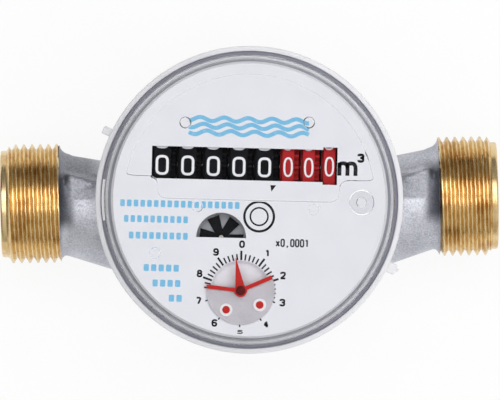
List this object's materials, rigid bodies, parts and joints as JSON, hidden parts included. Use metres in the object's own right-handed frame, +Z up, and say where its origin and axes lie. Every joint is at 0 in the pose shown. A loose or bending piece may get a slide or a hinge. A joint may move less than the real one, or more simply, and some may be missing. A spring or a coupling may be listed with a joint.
{
  "type": "water meter",
  "caption": "Cold-water meter with threaded pipe ends and a round clear hood over number drums, a flow star and a small pointer dial; an impeller drives them by magnets and gears.",
  "frame": {"origin": "on the ground plane, under the middle of the two end faces and of the register", "axes": "+X along the pipe from inlet to outlet, +Z up through the dial, the dial reads from -Y"},
  "size_m": [0.11, 0.0676, 0.0652],
  "materials": {
    "cast_body": "grey coated casting, bare brass threads",
    "white_plastic": "satin moulded plastic",
    "ring_plastic": "satin moulded plastic",
    "steel": "turned",
    "seal_rubber": "matte",
    "dust_seal": "matte",
    "bare_brass": "turned",
    "impeller_plastic": "moulded",
    "magnet": "sintered",
    "jewel": "polished",
    "clear_hood": "clear moulded",
    "dial": "printed satin plastic",
    "gear_plastic": "natural moulded plastic",
    "star_disc": "satin",
    "star_black": "satin",
    "pointer_red": "satin",
    "plate_metal": "rolled sheet",
    "drum_black": "white digits",
    "drum_red": "white digits"
  },
  "bodies": {
    "casing": {"meter_body": "cast_body", "inlet_strainer": "white_plastic", "impeller_pivot": "steel", "pressure_plate": "white_plastic", "pressure_plate_seal": "seal_rubber", "retaining_ring": "bare_brass", "upper_bearing": "white_plastic", "clamp_ring": "ring_plastic"},
    "impeller": {"impeller": "impeller_plastic", "impeller_magnet": "magnet", "pivot_jewel": "jewel"},
    "register": {"register_base": "white_plastic", "register_cover": "clear_hood", "cover_seal": "seal_rubber", "dust_seal": "dust_seal", "dial_plate": "dial", "roller_frame": "white_plastic", "roller_shaft": "steel", "pinion_shaft": "steel", "gear_plate": "gear_plastic"},
    "spindle": {"magnet_spindle": "gear_plastic", "follower_magnet": "magnet"},
    "star": {"star_arbor": "gear_plastic", "star_disc": "star_disc", "flow_star": "star_black"},
    "small_idler": {"idler_small": "gear_plastic"},
    "pointer": {"pointer_arbor": "gear_plastic", "pointer": "pointer_red", "modulator_plate": "plate_metal"},
    "idler_a": {"idler_a": "gear_plastic"},
    "idler_b": {"idler_b": "gear_plastic"},
    "drum_drive": {"drum_drive": "gear_plastic"},
    "drum_1": {"drum_1": "drum_black"},
    "drum_2": {"drum_2": "drum_black"},
    "drum_3": {"drum_3": "drum_black"},
    "drum_4": {"drum_4": "drum_black"},
    "drum_5": {"drum_5": "drum_black"},
    "drum_6": {"drum_6": "drum_red"},
    "drum_7": {"drum_7": "drum_red"},
    "drum_8": {"drum_8": "drum_red"},
    "transfer_1": {"transfer_pinion_1": "gear_plastic"},
    "transfer_2": {"transfer_pinion_2": "gear_plastic"},
    "transfer_3": {"transfer_pinion_3": "gear_plastic"},
    "transfer_4": {"transfer_pinion_4": "gear_plastic"},
    "transfer_5": {"transfer_pinion_5": "gear_plastic"},
    "transfer_6": {"transfer_pinion_6": "gear_plastic"},
    "transfer_7": {"transfer_pinion_7": "gear_plastic"}
  },
  "joints": [
    {"name": "impeller_spin", "type": "hinge", "parent": "casing", "child": "impeller", "pos_m": [0, 0, 0.02], "axis": [0, 0, 1], "continuous": true},
    {"name": "register_swivel", "type": "hinge", "parent": "casing", "child": "register", "pos_m": [0, 0, 0.037], "axis": [0, 0, 1], "range_deg": [-177.5, 177.5]},
    {"name": "spindle_spin", "type": "hinge", "parent": "register", "child": "spindle", "pos_m": [0, 0, 0.0368], "axis": [0, 0, 1], "continuous": true},
    {"name": "star_spin", "type": "hinge", "parent": "register", "child": "star", "pos_m": [-0.00624, -0.00807, 0.0368], "axis": [0, 0, 1], "continuous": true},
    {"name": "small_idler_spin", "type": "hinge", "parent": "register", "child": "small_idler", "pos_m": [-0.00698, -0.01159, 0.0368], "axis": [0, 0, 1], "continuous": true},
    {"name": "pointer_spin", "type": "hinge", "parent": "register", "child": "pointer", "pos_m": [-0.00225, -0.0196, 0.0368], "axis": [0, 0, 1], "continuous": true},
    {"name": "idler_a_spin", "type": "hinge", "parent": "register", "child": "idler_a", "pos_m": [0.0042, -0.01368, 0.0368], "axis": [0, 0, 1], "continuous": true},
    {"name": "idler_b_spin", "type": "hinge", "parent": "register", "child": "idler_b", "pos_m": [0.01661, -0.00526, 0.0368], "axis": [0, 0, 1], "continuous": true},
    {"name": "drum_drive_spin", "type": "hinge", "parent": "register", "child": "drum_drive", "pos_m": [0.02074, 0.00654, 0.0368], "axis": [0, 0, 1], "continuous": true},
    {"name": "drum_8_spin", "type": "hinge", "parent": "register", "child": "drum_8", "pos_m": [0.01745, 0.00667, 0.051], "axis": [0.9991, -0.0419, 0], "continuous": true},
    {"name": "drum_7_spin", "type": "hinge", "parent": "register", "child": "drum_7", "pos_m": [0.013, 0.00686, 0.051], "axis": [0.9991, -0.0419, 0], "continuous": true},
    {"name": "drum_6_spin", "type": "hinge", "parent": "register", "child": "drum_6", "pos_m": [0.00854, 0.00705, 0.051], "axis": [0.9991, -0.0419, 0], "continuous": true},
    {"name": "drum_5_spin", "type": "hinge", "parent": "register", "child": "drum_5", "pos_m": [0.00344, 0.00726, 0.051], "axis": [0.9991, -0.0419, 0], "continuous": true},
    {"name": "drum_4_spin", "type": "hinge", "parent": "register", "child": "drum_4", "pos_m": [-0.0021, 0.00749, 0.051], "axis": [0.9991, -0.0419, 0], "continuous": true},
    {"name": "drum_3_spin", "type": "hinge", "parent": "register", "child": "drum_3", "pos_m": [-0.00764, 0.00773, 0.051], "axis": [0.9991, -0.0419, 0], "continuous": true},
    {"name": "drum_2_spin", "type": "hinge", "parent": "register", "child": "drum_2", "pos_m": [-0.01318, 0.00796, 0.051], "axis": [0.9991, -0.0419, 0], "continuous": true},
    {"name": "drum_1_spin", "type": "hinge", "parent": "register", "child": "drum_1", "pos_m": [-0.01872, 0.00819, 0.051], "axis": [0.9991, -0.0419, 0], "continuous": true},
    {"name": "transfer_7_spin", "type": "hinge", "parent": "register", "child": "transfer_7", "pos_m": [0.01321, 0.01179, 0.04173], "axis": [0.9991, -0.0419, 0], "continuous": true},
    {"name": "transfer_6_spin", "type": "hinge", "parent": "register", "child": "transfer_6", "pos_m": [0.00875, 0.01197, 0.04173], "axis": [0.9991, -0.0419, 0], "continuous": true},
    {"name": "transfer_5_spin", "type": "hinge", "parent": "register", "child": "transfer_5", "pos_m": [0.00364, 0.01219, 0.04173], "axis": [0.9991, -0.0419, 0], "continuous": true},
    {"name": "transfer_4_spin", "type": "hinge", "parent": "register", "child": "transfer_4", "pos_m": [-0.0019, 0.01242, 0.04173], "axis": [0.9991, -0.0419, 0], "continuous": true},
    {"name": "transfer_3_spin", "type": "hinge", "parent": "register", "child": "transfer_3", "pos_m": [-0.00744, 0.01265, 0.04173], "axis": [0.9991, -0.0419, 0], "continuous": true},
    {"name": "transfer_2_spin", "type": "hinge", "parent": "register", "child": "transfer_2", "pos_m": [-0.01298, 0.01288, 0.04173], "axis": [0.9991, -0.0419, 0], "continuous": true},
    {"name": "transfer_1_spin", "type": "hinge", "parent": "register", "child": "transfer_1", "pos_m": [-0.01852, 0.01312, 0.04173], "axis": [0.9991, -0.0419, 0], "continuous": true}
  ],
  "couplings": [
    {"joint": "spindle_spin", "follows": "impeller_spin", "ratio": 1},
    {"joint": "star_spin", "follows": "impeller_spin", "ratio": -0.21429},
    {"joint": "small_idler_spin", "follows": "impeller_spin", "ratio": 0.10714},
    {"joint": "pointer_spin", "follows": "impeller_spin", "ratio": -0.037267},
    {"joint": "idler_a_spin", "follows": "impeller_spin", "ratio": 0.0062112},
    {"joint": "idler_b_spin", "follows": "impeller_spin", "ratio": -0.0062112},
    {"joint": "drum_drive_spin", "follows": "impeller_spin", "ratio": 0.0093168},
    {"joint": "drum_8_spin", "follows": "impeller_spin", "ratio": -0.0037267},
    {"joint": "drum_7_spin", "follows": "impeller_spin", "ratio": -0.00037267},
    {"joint": "drum_6_spin", "follows": "impeller_spin", "ratio": -0.000037267},
    {"joint": "drum_5_spin", "follows": "impeller_spin", "ratio": -0.0000037267},
    {"joint": "drum_4_spin", "follows": "impeller_spin", "ratio": -0.00000037267},
    {"joint": "drum_3_spin", "follows": "impeller_spin", "ratio": -0.000000037267},
    {"joint": "drum_2_spin", "follows": "impeller_spin", "ratio": -0.0000000037267},
    {"joint": "drum_1_spin", "follows": "impeller_spin", "ratio": -0.00000000037267},
    {"joint": "transfer_7_spin", "follows": "impeller_spin", "ratio": 0.00093168},
    {"joint": "transfer_6_spin", "follows": "impeller_spin", "ratio": 0.000093168},
    {"joint": "transfer_5_spin", "follows": "impeller_spin", "ratio": 0.0000093168},
    {"joint": "transfer_4_spin", "follows": "impeller_spin", "ratio": 0.00000093168},
    {"joint": "transfer_3_spin", "follows": "impeller_spin", "ratio": 0.000000093168},
    {"joint": "transfer_2_spin", "follows": "impeller_spin", "ratio": 0.0000000093168},
    {"joint": "transfer_1_spin", "follows": "impeller_spin", "ratio": 0.00000000093168}
  ]
}
